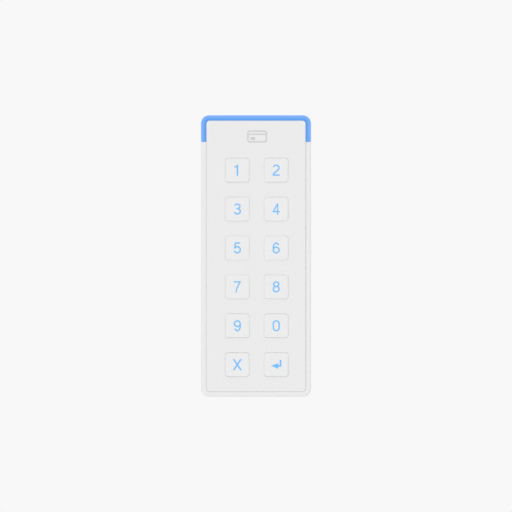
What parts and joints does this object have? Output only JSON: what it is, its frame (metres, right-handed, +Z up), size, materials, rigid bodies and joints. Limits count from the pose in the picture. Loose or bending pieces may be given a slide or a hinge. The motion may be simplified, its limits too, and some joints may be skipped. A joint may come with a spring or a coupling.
{
  "type": "keypad access reader",
  "caption": "Narrow upright wall keypad with a lit bar round its top edge, two columns of raised backlit square keys that press in, and a slotted wall plate behind.",
  "frame": {"origin": "centre of the wall plate's back face, which lies on the wall", "axes": "+Z up the wall, +Y into the wall (the keys face -Y), +X to the right of someone facing the keys"},
  "size_m": [0.043, 0.0194, 0.11],
  "materials": {
    "case_white": "fine-textured white moulding",
    "cover_white": "fine-textured white moulding",
    "bar_blue": "satin diffuser, lit blue",
    "badge_grey": "satin grey inlay",
    "seal_rubber": "matte silicone",
    "plate_grey": "fine-textured light grey moulding",
    "insert_brass": "machined",
    "screw_steel": "zinc plated",
    "board_green": "solder mask over glass-fibre board",
    "chip_black": "matte black moulding",
    "part_tan": "ceramic and tinned metal",
    "connector_ivory": "natural nylon",
    "former_natural": "natural nylon",
    "coil_copper": "enamelled copper wire",
    "grommet_black": "matte black rubber",
    "lamp_white": "lit lamps",
    "dome_steel": "bright spring steel",
    "mat_rubber": "translucent white silicone",
    "key_white": "smooth satin white",
    "legend_blue": "translucent, lit blue"
  },
  "bodies": {
    "reader": {"rear_housing": "case_white", "front_cover": "cover_white", "light_bar": "bar_blue", "card_badge": "badge_grey", "cover_seal": "seal_rubber", "wall_plate": "plate_grey", "thread_insert": "insert_brass", "security_screw": "screw_steel", "cover_screws": "screw_steel", "board_screws": "screw_steel", "main_board": "board_green", "key_board": "board_green", "board_chips": "chip_black", "tamper_sensor": "chip_black", "buzzer": "chip_black", "board_link": "chip_black", "board_parts": "part_tan", "cable_connector": "connector_ivory", "antenna_former": "former_natural", "antenna_coil": "coil_copper", "cable_grommet": "grommet_black", "key_board_lamps": "lamp_white", "snap_domes": "dome_steel", "keypad_mat": "mat_rubber"},
    "key_1": {"key_1_cap": "key_white", "key_1_core": "legend_blue", "key_1_boot": "mat_rubber"},
    "key_2": {"key_2_cap": "key_white", "key_2_core": "legend_blue", "key_2_boot": "mat_rubber"},
    "key_3": {"key_3_cap": "key_white", "key_3_core": "legend_blue", "key_3_boot": "mat_rubber"},
    "key_4": {"key_4_cap": "key_white", "key_4_core": "legend_blue", "key_4_boot": "mat_rubber"},
    "key_5": {"key_5_cap": "key_white", "key_5_core": "legend_blue", "key_5_boot": "mat_rubber"},
    "key_6": {"key_6_cap": "key_white", "key_6_core": "legend_blue", "key_6_boot": "mat_rubber"},
    "key_7": {"key_7_cap": "key_white", "key_7_core": "legend_blue", "key_7_boot": "mat_rubber"},
    "key_8": {"key_8_cap": "key_white", "key_8_core": "legend_blue", "key_8_boot": "mat_rubber"},
    "key_9": {"key_9_cap": "key_white", "key_9_core": "legend_blue", "key_9_boot": "mat_rubber"},
    "key_0": {"key_0_cap": "key_white", "key_0_core": "legend_blue", "key_0_boot": "mat_rubber"},
    "key_cancel": {"key_cancel_cap": "key_white", "key_cancel_core": "legend_blue", "key_cancel_boot": "mat_rubber"},
    "key_enter": {"key_enter_cap": "key_white", "key_enter_core": "legend_blue", "key_enter_boot": "mat_rubber"}
  },
  "joints": [
    {"name": "key_1_press", "type": "slide", "parent": "reader", "child": "key_1", "axis": [0, 1, 0], "range_m": [0, 0.0007], "stiffness_N_per_m": 500, "springref_m": -0.001},
    {"name": "key_2_press", "type": "slide", "parent": "reader", "child": "key_2", "axis": [0, 1, 0], "range_m": [0, 0.0007], "stiffness_N_per_m": 500, "springref_m": -0.001},
    {"name": "key_3_press", "type": "slide", "parent": "reader", "child": "key_3", "axis": [0, 1, 0], "range_m": [0, 0.0007], "stiffness_N_per_m": 500, "springref_m": -0.001},
    {"name": "key_4_press", "type": "slide", "parent": "reader", "child": "key_4", "axis": [0, 1, 0], "range_m": [0, 0.0007], "stiffness_N_per_m": 500, "springref_m": -0.001},
    {"name": "key_5_press", "type": "slide", "parent": "reader", "child": "key_5", "axis": [0, 1, 0], "range_m": [0, 0.0007], "stiffness_N_per_m": 500, "springref_m": -0.001},
    {"name": "key_6_press", "type": "slide", "parent": "reader", "child": "key_6", "axis": [0, 1, 0], "range_m": [0, 0.0007], "stiffness_N_per_m": 500, "springref_m": -0.001},
    {"name": "key_7_press", "type": "slide", "parent": "reader", "child": "key_7", "axis": [0, 1, 0], "range_m": [0, 0.0007], "stiffness_N_per_m": 500, "springref_m": -0.001},
    {"name": "key_8_press", "type": "slide", "parent": "reader", "child": "key_8", "axis": [0, 1, 0], "range_m": [0, 0.0007], "stiffness_N_per_m": 500, "springref_m": -0.001},
    {"name": "key_9_press", "type": "slide", "parent": "reader", "child": "key_9", "axis": [0, 1, 0], "range_m": [0, 0.0007], "stiffness_N_per_m": 500, "springref_m": -0.001},
    {"name": "key_0_press", "type": "slide", "parent": "reader", "child": "key_0", "axis": [0, 1, 0], "range_m": [0, 0.0007], "stiffness_N_per_m": 500, "springref_m": -0.001},
    {"name": "key_cancel_press", "type": "slide", "parent": "reader", "child": "key_cancel", "axis": [0, 1, 0], "range_m": [0, 0.0007], "stiffness_N_per_m": 500, "springref_m": -0.001},
    {"name": "key_enter_press", "type": "slide", "parent": "reader", "child": "key_enter", "axis": [0, 1, 0], "range_m": [0, 0.0007], "stiffness_N_per_m": 500, "springref_m": -0.001}
  ]
}
